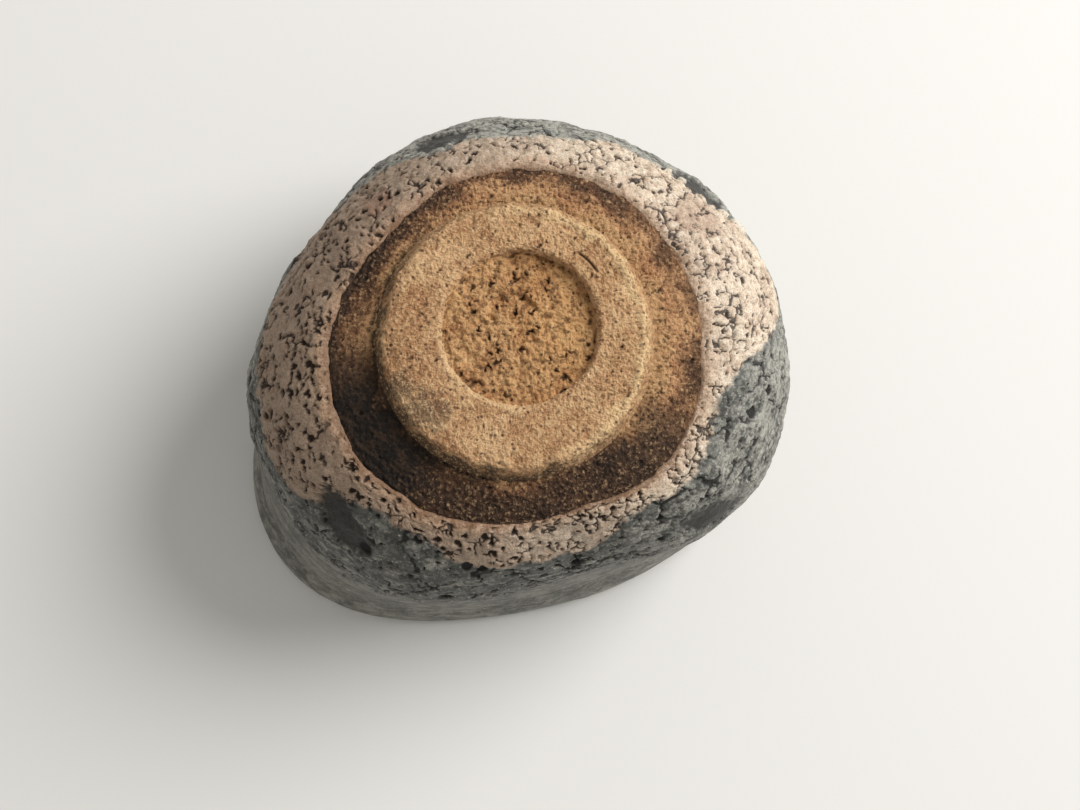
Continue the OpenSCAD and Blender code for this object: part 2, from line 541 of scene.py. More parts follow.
@dataclass
class Thrown:
    """A piece thrown on the wheel: rings extruded one from the next.

    Args:
        name: The piece's name.
        stations: Share and depth of each ring, in order.
        place: Where a ring's point goes, from its direction, share and depth.
        around: Points in a ring before the mesh is refined.
        loop: True where the last ring is bridged to the first; otherwise the
            first and last rings are each drawn together into a point.
        fine: Levels of refinement.
    """

    name: str
    stations: list[Station]
    place: Place
    around: int = 240
    loop: bool = True
    fine: int = 2

    def throw(self) -> Any:
        """Extrude the rings, close the piece and squeeze it to the outline.

        Returns:
            The new object, refined, with its place in its mesh.
        """
        bpy.ops.object.select_all(action="DESELECT")
        bpy.ops.mesh.primitive_circle_add(vertices=self.around, radius=1.0)
        piece = bpy.context.object
        piece.name = piece.data.name = self.name
        bpy.ops.object.mode_set(mode="EDIT")
        bpy.ops.mesh.select_all(action="SELECT")
        for _ in self.stations[1:]:
            bpy.ops.mesh.extrude_edges_move(TRANSFORM_OT_translate={"value": (0, 0, 1)})
        if self.loop:
            self._select_edges()
            bpy.ops.mesh.bridge_edge_loops()
        bpy.ops.object.mode_set(mode="OBJECT")
        self._squeeze(piece.data)
        refine = piece.modifiers.new("refine", "SUBSURF")
        refine.levels = refine.render_levels = self.fine
        bpy.ops.object.modifier_apply(modifier=refine.name)
        bpy.ops.object.mode_set(mode="EDIT")
        if not self.loop:
            self._select_edges()
            bpy.ops.mesh.merge(type="COLLAPSE")
        bpy.ops.mesh.select_all(action="SELECT")
        bpy.ops.mesh.normals_make_consistent(inside=False)
        bpy.ops.object.mode_set(mode="OBJECT")
        bpy.ops.object.shade_smooth()
        return piece

    @staticmethod
    def _select_edges() -> None:
        """Select the open edges of the mesh that is being edited."""
        bpy.ops.mesh.select_mode(type="EDGE")
        bpy.ops.mesh.select_all(action="DESELECT")
        bpy.ops.mesh.select_non_manifold(use_wire=False, use_multi_face=False,
                                         use_non_contiguous=False, use_verts=False)

    def _squeeze(self, mesh: Any) -> None:
        """Move each point from the wheel's true ring to the hand-made outline.

        Args:
            mesh: The mesh, with each ring's number as its height.
        """
        marks = [self.stations[round(vertex.co.z)] for vertex in mesh.vertices]
        for vertex, (at, under) in zip(mesh.vertices, marks):
            turn = math.degrees(math.atan2(vertex.co.y, vertex.co.x))
            vertex.co = self.place(turn, at, under) * MM
        for mask, values in zip((Mask.SHARE, Mask.DEPTH), zip(*marks)):
            layer = mesh.attributes.new(mask.value, "FLOAT", "POINT")
            layer.data.foreach_set("value", values)


# ---------------------------------------------------------------- relief


@dataclass(frozen=True)
class Touch:
    """A mark, a hole, a bead or a flush at one place in the glaze.

    Args:
        turn: Direction of its middle, in degrees.
        share: Share of the outside at its middle.
        wide: Half its width, in degrees.
        tall: Half its height, as a share of the outside.
        lean: How far it leans, in degrees per share.
    """

    turn: float
    share: float
    wide: float
    tall: float
    lean: float = 0.0


# Finger marks, dark from the smoke.
PRINTS = (
    Touch(109, 0.56, 8, 0.09),
    Touch(43, 0.66, 8, 0.10, -20),
    Touch(321, 0.74, 6, 0.15, 30),
    Touch(224, 0.53, 8, 0.11, 40),
    Touch(231, 0.57, 3.5, 0.045),
)
# The largest of the burst bubbles.
HOLES = (
    Touch(257, 0.52, 1.7, 0.030),
    Touch(261, 0.54, 1.5, 0.026),
    Touch(259, 0.58, 1.1, 0.020),
    Touch(253, 0.83, 1.4, 0.026),
    Touch(276, 0.66, 1.2, 0.022),
    Touch(286, 0.71, 1.3, 0.024),
    Touch(281, 0.69, 0.9, 0.016),
    Touch(232, 0.58, 1.6, 0.028),
    Touch(346, 0.52, 1.6, 0.030),
    Touch(352, 0.60, 1.3, 0.024),
    Touch(340, 0.62, 1.2, 0.022),
)
# Beads of thick white glaze.
BEADS = (
    Touch(31, 0.70, 1.8, 0.055, -20),
    Touch(35, 0.63, 1.3, 0.026),
    Touch(47, 0.60, 1.1, 0.022),
    Touch(51, 0.57, 1.5, 0.018),
)
# Pink flushes in the white glaze.
FLUSHES = (
    Touch(37, 0.44, 7, 0.12),
    Touch(133, 0.37, 5, 0.10),
)


class Skin(Tree):
    """The fields that every relief and finish on the bowl is worked out from."""

    def __init__(self, nodes: Any, position: Socket, share: Socket, form: Outline,
                 middle: Vector) -> None:
        """Work out the place in the potter's own frame and its direction.

        Args:
            nodes: The node tree to build in.
            position: The place in the frame, in metres.
            share: The share of the outside that the mesh carries.
            form: The outline.
            middle: Where the potter's own origin is in the frame.
        """
        super().__init__(nodes)
        self.form = form
        self.share = share
        self.at = self.vector("SUBTRACT", self.vector("MULTIPLY", position, (1000.0,) * 3),
                              tuple(middle / MM))
        x, y, self.z = self.split(self.at)
        self.radians = y.calc("ARCTAN2", y, x)
        self.turn = self.radians * (180 / math.pi)

    def lobes(self, lobes: Sequence[Lobe]) -> Socket:
        """Sum of lobes at this place.

        Args:
            lobes: The lobes.

        Returns:
            Their sum in this direction.
        """
        terms = [(self.radians * n - math.radians(n * a)).cos() * d for n, d, a in lobes]
        total = terms[0]
        for term in terms[1:]:
            total = total + term
        return total

    def bare(self) -> Socket:
        """Share of the haunch that is bare in this direction."""
        return self.lobes(self.form.bare_lobes) + self.form.bare_share

    def white(self) -> Socket:
        """Share of the haunch where the white glaze ends in this direction."""
        share = self.lobes(self.form.white_lobes) + self.form.white_share
        return share.high(self.bare() + self.form.least_band).low(self.form.most_band)

    def past_bare(self) -> Socket:
        """Distance past the edge of the bare clay, in millimetres."""
        return (self.share - self.bare()) * HAUNCH_MM

    def past_white(self) -> Socket:
        """Distance past the edge of the white glaze, in millimetres."""
        return (self.share - self.white()) * HAUNCH_MM

    def from_foot(self, x: float = 0.0, y: float = 0.0) -> tuple[Socket, Socket, Socket]:
        """Where this place is from the middle of the foot, or from a point beside it.

        Args:
            x: How far that point is from the middle of the foot, along X.
            y: The same along Y.

        Returns:
            The distance, and its parts along X and Y, in millimetres.
        """
        across, along, _ = self.split(self.at)
        dx, dy = across - (self.form.foot_x + x), along - (self.form.foot_y + y)
        return (dx * dx + dy * dy).root(), dx, dy

    def facing(self, turn: float, half: float, soft: float) -> Socket:
        """A side of the bowl.

        Args:
            turn: Direction of its middle, in degrees.
            half: Half its width, in degrees.
            soft: How far its edge fades, each way.

        Returns:
            1 on that side and 0 elsewhere.
        """
        near = (self.radians - math.radians(turn)).cos()
        inner = math.cos(math.radians(max(half - soft, 0)))
        outer = math.cos(math.radians(min(half + soft, 180)))
        return near.ease(outer, inner)

    def touch(self, mark: Touch, rough: Socket) -> Socket:
        """A mark with a rough edge.

        Args:
            mark: The mark.
            rough: What its edge is roughened by.

        Returns:
            1 in the middle of the mark and 0 outside it.
        """
        away = (self.turn - mark.turn) / 360
        turns = (away - away.calc("ROUND", away)) * 360
        across = (turns - (self.share - mark.share) * mark.lean) / mark.wide
        up = (self.share - mark.share) / mark.tall
        return (across * across + up * up + rough).ease(1.25, 0.55)

    def touches(self, marks: Sequence[Touch], rough: Socket) -> Socket:
        """All of these marks together.

        Args:
            marks: The marks.
            rough: What their edges are roughened by.

        Returns:
            1 in the middle of each mark and 0 outside them all.
        """
        return highest([self.touch(mark, rough) for mark in marks])


CORE = (0.0, 0.0, 20.0)  # millimetres, in the potter's own frame


@dataclass
class Carving:
    """A modifier that pits and dents a piece and keeps its masks.

    Args:
        form: The outline.
        middle: Where the potter's own origin is in the frame.
        thick: Depth at which nothing moves any more, in millimetres.
        outward: True where the skin moves away from the core of the bowl, so
            that neighbours keep together; otherwise it moves along its normal.
    """

    form: Outline
    middle: Vector
    thick: float = 1.2
    outward: bool = False

    def apply(self, piece: Any, relief: Callable[[Skin], tuple[Socket, dict]]) -> None:
        """Work out the relief, store its masks, move the skin and apply it all.

        Args:
            piece: The thrown object.
            relief: Gives the height in millimetres and the masks to keep.
        """
        group = bpy.data.node_groups.new(piece.name + "_relief", "GeometryNodeTree")
        for side in ("INPUT", "OUTPUT"):
            group.interface.new_socket("Geometry", in_out=side, socket_type="NodeSocketGeometry")
        tree = Tree(group)
        start = tree.take(tree.add("NodeGroupInput"))
        position = tree.take(tree.add("GeometryNodeInputPosition"))
        share = self._named(tree, Mask.SHARE)
        depth = self._named(tree, Mask.DEPTH)
        skin = Skin(group, position, share, self.form, self.middle)
        height, masks = relief(skin)
        shape = start
        for mask, value in masks.items():
            node = tree.tree.nodes.new("GeometryNodeStoreNamedAttribute")
            node.data_type, node.domain = "FLOAT", "POINT"
            plug(group, node.inputs["Geometry"], shape)
            node.inputs["Name"].default_value = mask.value
            plug(group, next(s for s in node.inputs if s.name == "Value" and s.enabled), value)
            shape = Socket(group, node.outputs["Geometry"])
        on_skin = depth.ease(self.thick, self.thick * 0.7) if self.thick else 1.0
        way = tree.take(tree.add("GeometryNodeInputNormal"), "Normal")
        if self.outward:
            way = tree.vector("NORMALIZE", tree.vector("SUBTRACT", skin.at, CORE))
        move = tree.vector("SCALE", way)
        scale = next(n for n in group.nodes if n.outputs and n.outputs[0] == move.out)
        plug(group, scale.inputs["Scale"], height * on_skin * MM)
        done = tree.add("GeometryNodeSetPosition", Geometry=shape, Offset=move)
        end = tree.add("NodeGroupOutput")
        group.links.new(done.outputs["Geometry"], end.inputs[0])
        bpy.context.view_layer.objects.active = piece
        modifier = piece.modifiers.new("relief", "NODES")
        modifier.node_group = group
        bpy.ops.object.modifier_apply(modifier=modifier.name)
        bpy.data.node_groups.remove(group)

    @staticmethod
    def _named(tree: Tree, mask: Mask) -> Socket:
        """A value that the mesh carries, read by name.

        Args:
            tree: Where the node goes.
            mask: The value's name.

        Returns:
            The value.
        """
        node = tree.tree.nodes.new("GeometryNodeInputNamedAttribute")
        node.data_type = "FLOAT"
        node.inputs["Name"].default_value = mask.value
        return Socket(tree.tree, next(
            s for s in node.outputs if s.enabled and s.name == "Attribute"))


def swells(skin: Skin) -> Socket:
    """Slow lumps and hollows left by the hands.

    Args:
        skin: The fields on the skin.

    Returns:
        The height in millimetres.
    """
    slow = skin.noise(skin.at, 0.045, 1) - 0.5
    quick = skin.noise(skin.at, 0.11, 1) - 0.5
    level = skin.z + skin.noise(skin.at, 0.06, 2) * 14
    streaks = skin.noise(skin.join(skin.radians * 9, level * 0.6, 0.0), 1.0, 2, 0.5) - 0.5
    wall = skin.share.ease(1.0, 1.3)
    return slow * 2.6 + quick * 2.2 * (1 - wall * 0.4) + streaks * wall * 0.7


@dataclass(frozen=True)
class GlazeDepths:
    """How far the marks in the glaze go down or stand up, in millimetres."""

    pit: float = 1.15
    crack: float = 0.6
    mark: float = 0.7
    bead: float = 1.1
    lift: float = 0.15
    deepest: float = 1.05


def glaze_relief(skin: Skin) -> tuple[Socket, dict]:
    """Pits, worm-like splits, crazed cells and finger marks in the glaze.

    Args:
        skin: The fields on the skin.

    Returns:
        The height in millimetres, and the masks to keep.
    """
    at, share, depths = skin.at, skin.share, GlazeDepths()
    swirl = skin.noise(at, 0.55, 3)
    patch = skin.noise(at, 0.11, 1)
    fray = (skin.noise(at, 0.22, 3) - 0.5) * 7
    from_white = skin.past_white()
    white = (from_white + fray).ease(0.8, -0.8)
    from_bare = skin.past_bare()
    wall = share.ease(1.0, 1.45)
    right = skin.facing(350, 70, 30)
    bend = skin.join(swirl - 0.5, skin.noise(at, 0.6, 1) - 0.5, 0.0)
    warped = skin.vector("ADD", at, skin.vector("MULTIPLY", bend, (3.2, 3.2, 0)))

    near_line = from_white.abs().ease(13.0, 3.0)
    below = skin.facing(272, 30, 15) * near_line
    grey = (1 - white) * (1 - wall)
    on_white = white * from_bare.ease(0.4, 1.6)
    left = skin.facing(204, 84, 40)
    dense = on_white * (left * 0.20 + 0.16) + grey * (near_line * 0.26 + below * 0.2 - 0.12)

    dots = skin.cells(warped, 0.46)
    dot_size, dot_pick, _ = skin.split(skin.take(dots, "Color"))
    dot_there = (dot_pick + dense + (patch - 0.5) * 1.1).ease(0.56, 0.66)
    dot_size = dot_size * 0.16 + left * white * 0.09
    dot = (skin.take(dots, "Distance") - dot_size).ease(0.25, 0.05) * dot_there
    holes = skin.cells(warped, 0.24)
    hole_size, hole_pick, _ = skin.split(skin.take(holes, "Color"))
    hole_there = (hole_pick + dense + (patch - 0.5) * 1.2).ease(0.80, 0.88)
    hole = (skin.take(holes, "Distance") - hole_size * 0.10).ease(0.24, 0.07) * hole_there
    edge = skin.take(skin.cells(warped, 0.32, Cell.EDGE), "Distance")
    torn = skin.noise(at, 0.24, 1) + right * 0.08 - left * 0.03
    crazed = edge.ease(0.085, 0.015) * torn.ease(0.50, 0.58)
    long_edge = skin.take(skin.cells(warped, 0.125, Cell.EDGE), "Distance")
    worn = skin.noise(at, 0.13, 1) + near_line * 0.06
    split = long_edge.ease(0.05, 0.01) * worn.ease(0.50, 0.57)
    pit = (dot * (on_white + grey * 0.8)).high(hole * (on_white * 0.45 + grey))
    crack = (crazed * (on_white + grey * 0.45)).high(split * grey)

    rough = (swirl - 0.5) * 2.2
    mark = skin.touches(PRINTS, rough)
    flush = skin.touches(FLUSHES, rough)
    pit = pit * (1 - mark)
    crack = crack * (1 - mark)
    pillow = edge.ease(0.0, 0.42)
    domes = skin.take(skin.cells(warped, 0.46, Cell.SOFT), "Distance")
    raised = skin.touches(BEADS, rough)
    pit = pit.high(skin.touches(HOLES, (swirl - 0.5) * 2.6))
    ragged = (skin.noise(at, 0.45, 2) * 1.5 - 0.15) * from_bare.ease(2.2, 0.0)
    height = (
        swells(skin) + depths.lift
        + (swirl - 0.5) * (white * 0.7 + 0.3) * (1 - wall * 0.6)
        + (0.5 - domes) * 0.34 * (1 - wall)
        + (pillow - 0.6) * 0.26 * (on_white + grey * 0.6)
        + raised * depths.bead
        - ragged
        - pit * depths.pit
        - crack * depths.crack
        - mark * depths.mark
    )
    return height.high(-depths.deepest), {
        Mask.PIT: pit, Mask.CRACK: crack, Mask.PRINT: mark, Mask.WHITE: white,
        Mask.RAISED: raised, Mask.FLUSH: flush,
    }


def rim_relief(skin: Skin) -> tuple[Socket, dict]:
    """The same slow lumps on the rim, fading out where the lip stands."""
    return swells(skin) * skin.z.ease(1.5, 7.0), {}


def shoulder_relief(skin: Skin) -> tuple[Socket, dict]:
    """Sandy, dragged clay with a few torn places.

    Args:
        skin: The fields on the skin.

    Returns:
        The height in millimetres, and the masks to keep.
    """
    at = skin.at
    grit = skin.noise(at, 1.1, 1, 0.6)
    drag = skin.noise(skin.join(skin.radians * 14, skin.share * 30, 0.0), 1.0, 3, 0.6)
    torn = skin.cells(skin.vector("ADD", at, skin.join(grit * 2, grit * 2, 0.0)), 0.42)
    there = skin.split(skin.take(torn, "Color"))[0].ease(0.80, 0.88)
    pit = skin.take(torn, "Distance").ease(0.34, 0.1) * there
    height = (grit - 0.5) * 1.3 + (drag - 0.5) * 1.1 - pit * 0.7
    height = height + (skin.noise(at, 0.11, 1) - 0.5) * 1.6 * skin.share.ease(0.0, 0.06)
    return height, {Mask.PIT: pit}


def foot_relief(skin: Skin) -> tuple[Socket, dict]:
    """Worn, close-grained clay with pin holes, a scratch and a chipped edge.

    Args:
        skin: The fields on the skin.

    Returns:
        The height in millimetres, and the masks to keep.
    """
    at = skin.at
    grit = skin.noise(at, 1.1, 1, 0.6)
    pins = skin.cells(skin.vector("ADD", at, skin.join(grit * 2, grit * 2, 0.0)), 0.5)
    there = skin.split(skin.take(pins, "Color"))[0] + (skin.noise(at, 0.14, 1) - 0.5)
    pit = skin.take(pins, "Distance").ease(0.30, 0.08) * there.ease(0.80, 0.90)
    x, y, _ = skin.split(at)
    along = (x - 16.0) * 0.70 - (y - 18.5) * 0.71
    across = (x - 16.0) * 0.71 + (y - 18.5) * 0.70 + along * along * 0.04
    scratch = across.abs().ease(0.42, 0.05) * along.abs().ease(3.6, 2.2)
    radius, _, _ = skin.from_foot()
    out = radius.ease(25.0, 28.5)
    wear = skin.noise(at, 0.12, 1) - 0.5
    chip = skin.noise(at, 0.38, 3, 0.6) - 0.5
    height = (grit - 0.5) * 0.6 + wear * (0.7 + out * 1.6) + chip * (0.25 + out * 1.2)
    ridge = radius.ease(26.6, 28.6) * skin.facing(15, 75, 30)
    height = height - pit * 0.5 - scratch * 0.6 - out * 0.25 + ridge * 0.45
    return height, {Mask.PIT: pit.high(scratch)}


def well_relief(skin: Skin) -> tuple[Socket, dict]:
    """Torn clay in the well, with a spiral left by the turning tool.

    Args:
        skin: The fields on the skin.

    Returns:
        The height in millimetres, and the masks to keep.
    """
    at = skin.at
    grit = skin.noise(at, 0.7, 1, 0.6)
    tears = skin.cells(skin.vector("ADD", at, skin.join(grit * 4, grit * 4, 0.0)), 0.55)
    there = skin.split(skin.take(tears, "Color"))[0] + (skin.noise(at, 0.13, 1) - 0.5) * 1.8
    pit = skin.take(tears, "Distance").ease(0.50, 0.14) * there.ease(0.58, 0.72)
    far, dx, dy = skin.from_foot(-1.9, 4.0)
    sweep = dy.calc("ARCTAN2", dy, dx)
    spiral = far - 7.5 + sweep * 1.2
    crescent = spiral.ease(0.9, 0.0) * spiral.ease(-3.4, 0.0) * sweep.ease(-0.2, 0.8)
    lumps = skin.noise(at, 0.22, 1) - 0.5
    height = (grit - 0.5) * 1.8 + lumps * 1.8 - pit * 1.0 - crescent * 1.0
    return height, {Mask.PIT: pit}


# ---------------------------------------------------------------- finishes


@dataclass(frozen=True)
class Paint:
    """What a finish lays on the skin.

    Args:
        colour: Its colour.
        rough: Its roughness, a number or a field.
        grain: Relief that is too small for the mesh.
        strength: How strongly that relief shows.
        reach: How high it is, in metres.
    """

    colour: Socket
    rough: Any
    grain: Socket
    strength: float = 0.9
    reach: float = 0.0014


@dataclass
class Finish:
    """A finish: a Principled shader fed by fields on the skin.

    Args:
        name: The material's name.
        form: The outline.
        middle: Where the potter's own origin is in the frame.
        base: Plain colour seen in a solid view.
    """

    name: str
    form: Outline
    middle: Vector
    base: Colour

    def make(self) -> Any:
        """Build the material.

        Returns:
            The new material.
        """
        material = bpy.data.materials.new(self.name)
        material.use_nodes = True
        material.diffuse_color = (*self.base, 1.0)
        nodes = material.node_tree
        shader = nodes.nodes["Principled BSDF"]
        tree = Tree(nodes)
        position = tree.take(tree.add("ShaderNodeTexCoord"), "Object")
        skin = Skin(nodes, position, self.named(tree, Mask.SHARE), self.form, self.middle)
        paint = self.paint(skin)
        plug(nodes, shader.inputs["Base Color"], paint.colour)
        plug(nodes, shader.inputs["Roughness"], paint.rough)
        bump = tree.add("ShaderNodeBump", Strength=paint.strength, Distance=paint.reach,
                        Height=paint.grain)
        plug(nodes, shader.inputs["Normal"], tree.take(bump, "Normal"))
        return material

    def paint(self, skin: Skin) -> Paint:
        """What this finish lays on the skin; each finish has its own."""
        raise NotImplementedError

    @staticmethod
    def named(tree: Tree, mask: Mask) -> Socket:
        """A value that the mesh carries."""
        node = tree.add("ShaderNodeAttribute", {"attribute_name": mask.value})
        return tree.take(node, "Fac")

    @staticmethod
    def grains(skin: Skin, colour: Socket, pale: Any, dark: Colour) -> Socket:
        """Scatter pale stones and dark pin holes through bare clay.

        Args:
            skin: The fields on the skin.
            colour: The clay's own colour.
            pale: Colour of the stones.
            dark: Colour of the holes.

        Returns:
            The colour with the grains in it.
        """
        grain = skin.cells(skin.at, 1.0)
        pick, other, _ = skin.split(skin.take(grain, "Color"))
        spot = skin.take(grain, "Distance").ease(0.46, 0.22)
        return skin.wash(
            colour,
            (spot * pick.ease(0.76, 0.90) * 0.6, pale),
            (spot * other.ease(0.78, 0.92) * 0.8, dark),
        )

    @staticmethod
    def streaked(skin: Skin) -> Socket:
        """Smooth grey glaze, drawn out round the bowl into fine streaks, with painted shade on one
        side.

        Args:
            skin: The fields on the skin.

        Returns:
            Its colour.
        """
        cloud = skin.noise(skin.at, 0.09, 3)
        mottle = skin.noise(skin.at, 0.9, 4, 0.65)
        patchy = skin.noise(skin.at, 0.3, 3, 0.6)
        level = skin.z + skin.noise(skin.at, 0.06, 2) * 14
        streaks = skin.noise(skin.join(skin.radians * 7, level * 0.8, 0.0), 1.0, 5, 0.65)
        thin = skin.noise(skin.join(skin.radians * 12, level * 2.6, 3.0), 1.0, 3, 0.6)
        return skin.wash(
            skin.mix(cloud.ease(0.40, 0.60), srgb(104, 105, 99), srgb(152, 149, 140)),
            # Painted shade on the side turned away from the lamp.
            (skin.facing(235, 60, 40) * 0.35, srgb(78, 80, 75)),
            (streaks.ease(0.50, 0.64) * 0.55, srgb(172, 168, 157)),
            (streaks.ease(0.48, 0.36) * 0.65, srgb(62, 64, 60)),
            (thin.ease(0.55, 0.66) * 0.35, srgb(178, 174, 163)),
            (patchy.ease(0.47, 0.37) * 0.5, srgb(64, 67, 63)),
            (patchy.ease(0.53, 0.62) * 0.35, srgb(168, 166, 156)),
            (mottle.ease(0.55, 0.68) * 0.35, srgb(176, 168, 154)),
            (mottle.ease(0.44, 0.32) * 0.4, srgb(52, 52, 48)),
        )


class GlazeFinish(Finish):
    """The crawled white glaze and the pitted grey one, which meet in a soft line."""

    def paint(self, skin: Skin) -> Paint:
        """Both glazes, with their marks, specks, and hollows painted dark with the clay under the
        glaze and with painted shade.

        Args:
            skin: The fields on the skin.

        Returns:
            What goes on the skin.
        """
        at = skin.at
        pit, crack = self.named(skin, Mask.PIT), self.named(skin, Mask.CRACK)
        mark, white = self.named(skin, Mask.PRINT), self.named(skin, Mask.WHITE)
        flush, raised = self.named(skin, Mask.FLUSH), self.named(skin, Mask.RAISED)
        cloud = skin.noise(at, 0.12, 2)
        mottle = skin.noise(at, 0.9, 4, 0.65)
        patchy = skin.noise(at, 0.33, 3, 0.6)
        fine = skin.noise(at, 2.6, 2)
        wall = (skin.share + (patchy - 0.5) * 0.7).ease(0.98, 1.40)
        dull = (skin.past_white() + (mottle - 0.5) * 6).ease(5.0, 0.5) * (1 - white)
        dull = dull * (1 - skin.facing(85, 70, 30))
        grey = skin.wash(
            self._grey(skin, cloud, mottle, patchy),
            (wall * 0.85, self.streaked(skin)),
            (dull * 0.5, srgb(72, 75, 71)),
        )
        smoke = skin.mix((mark * 1.4 - mottle).ease(0.6, 0.95), srgb(42, 43, 40), srgb(21, 20, 18))
        cells = skin.cells(at, 1.1)
        chance = skin.split(skin.take(cells, "Color"))[2].ease(0.80, 0.84)
        speck = skin.take(cells, "Distance").ease(0.34, 0.12) * chance * (1 - white.high(mark))
        # Pits and cracks show the dark clay under the glaze, deepened with painted shade in the
        # hollows.
        pit_clay_and_shade = skin.mix(white, srgb(20, 19, 17), srgb(44, 31, 23))
        colour = skin.wash(
            skin.mix(white, grey, self._cream(skin, cloud, mottle)),
            (flush * mottle.ease(0.36, 0.56) * 0.6, srgb(142, 96, 70)),
            (mark * 0.93, smoke),
            (raised.ease(0.1, 0.7) * 0.85, srgb(230, 220, 202)),
            (speck * (1 - wall) * 0.7, srgb(206, 202, 190)),
            (fine.ease(0.5, 0.34) * 0.45, srgb(70, 58, 48)),
            (crack.ease(0.08, 0.75) * 0.92, pit_clay_and_shade),
            (pit.ease(0.08, 0.72) * 0.94, pit_clay_and_shade),
        )
        rough = 0.46 + mottle * 0.2 + pit * 0.3
        return Paint(colour, rough, mottle * 0.6 + fine * 0.4, 0.7, 0.0006)

    @staticmethod
    def _cream(skin: Skin, cloud: Socket, mottle: Socket) -> Socket:
        """The white glaze, with painted shade on one side, and stained by the clay at its edge.

        Args:
            skin: The fields on the skin.
            cloud: Large soft patches.
            mottle: Small ones.

        Returns:
            Its colour.
        """
        tan = (skin.past_bare() + (cloud - 0.5) * 8).ease(5.0, 0.0)
        stained = (skin.past_bare() + (mottle - 0.5) * 7).ease(2.0, 0.2)
        return skin.wash(
            skin.mix(cloud.ease(0.4, 0.62), srgb(222, 204, 182), srgb(204, 182, 160)),
            (mottle.ease(0.5, 0.66) * 0.6, srgb(240, 230, 214)),
            (mottle.ease(0.5, 0.34) * 0.6, srgb(170, 142, 120)),
            # Painted shade: the side turned away from the lamp is darkened.
            (skin.facing(190, 95, 50) * 0.76, srgb(142, 115, 94)),
            (tan * 0.5, srgb(186, 146, 112)),
            (stained * (0.35 + skin.facing(225, 110, 40) * 0.4), srgb(126, 90, 62)),
        )

    @staticmethod
    def _grey(skin: Skin, cloud: Socket, mottle: Socket, patchy: Socket) -> Socket:
        """The grey glaze over the haunch, with painted shade on one side and a painted highlight
        on another.

        Args:
            skin: The fields on the skin.
            cloud: Large soft patches.
            mottle: Small ones.
            patchy: Ones between the two in size.

        Returns:
            Its colour.
        """
        # Painted shade on the side turned away from the lamp; the pale patches are dimmed there
        # too.
        painted_shade_side = skin.facing(245, 60, 35) * skin.share.ease(1.6, 0.8)
        outside_painted_shade = 1 - painted_shade_side * 0.55
        brushed = skin.noise(skin.join(skin.radians * 9, skin.z * 0.5, skin.share * 4), 1.0, 3)
        return skin.wash(
            skin.mix(cloud.ease(0.38, 0.62), srgb(120, 121, 115), srgb(158, 156, 148)),
            (painted_shade_side * 0.88, srgb(62, 63, 58)),
            # Painted highlight on the side towards the lamp.
            (skin.facing(75, 60, 35) * 0.5, srgb(176, 176, 168)),
            (patchy.ease(0.50, 0.60) * outside_painted_shade * 0.5, srgb(168, 166, 157)),
            (patchy.ease(0.48, 0.38) * 0.72, srgb(60, 63, 59)),
            (brushed.ease(0.46, 0.36) * 0.68, srgb(50, 53, 50)),
            (brushed.ease(0.54, 0.64) * 0.45, srgb(180, 178, 168)),
            (mottle.ease(0.5, 0.64) * outside_painted_shade * 0.5, srgb(190, 187, 177)),
            (mottle.ease(0.48, 0.36) * 0.6, srgb(54, 56, 52)),
        )


class RimFinish(Finish):
    """Smooth grey glaze with fine rings left by the wheel."""

    def paint(self, skin: Skin) -> Paint:
        """The streaked grey glaze and its rings.

        Args:
            skin: The fields on the skin.

        Returns:
            What goes on the skin.
        """
        mottle = skin.noise(skin.at, 0.9, 4, 0.6)
        rings = skin.noise(skin.join(skin.radians * 7, skin.z * 1.4, 0.0), 1.0, 5, 0.65)
        grain = rings * 0.6 + mottle * 0.4
        return Paint(self.streaked(skin), 0.42 + mottle * 0.2, grain, 0.5, 0.0004)


@dataclass(frozen=True)
class Scorch:
    """A side of the shoulder that the fire darkened.

    Args:
        start: Share of the bare clay at which it starts, from the foot.
        full: Share at which it is full.
        turn: Direction of its middle, in degrees.
        half: Half its width, in degrees.
        soft: How far its sides fade, in degrees.
        strength: How dark it is, 0 to 1.
    """

    start: float
    full: float
    turn: float
    half: float
    soft: float
    strength: float = 1.0


# Where the bare clay is browned, and where it is burnt black.
RUSTY = (
    Scorch(0.42, 0.85, 0, 62, 20, 0.75),
    Scorch(0.42, 0.80, 92, 44, 20),
    Scorch(0.15, 0.62, 155, 32, 18),
    Scorch(-0.25, 0.20, 258, 70, 20),
)
BURNT = (
    Scorch(-0.25, 0.18, 213, 26, 16),
    Scorch(0.0, 0.50, 268, 42, 14, 0.66),
    Scorch(0.0, 0.40, 316, 19, 10, 0.78),
    Scorch(0.55, 0.90, 170, 30, 20, 0.8),
)


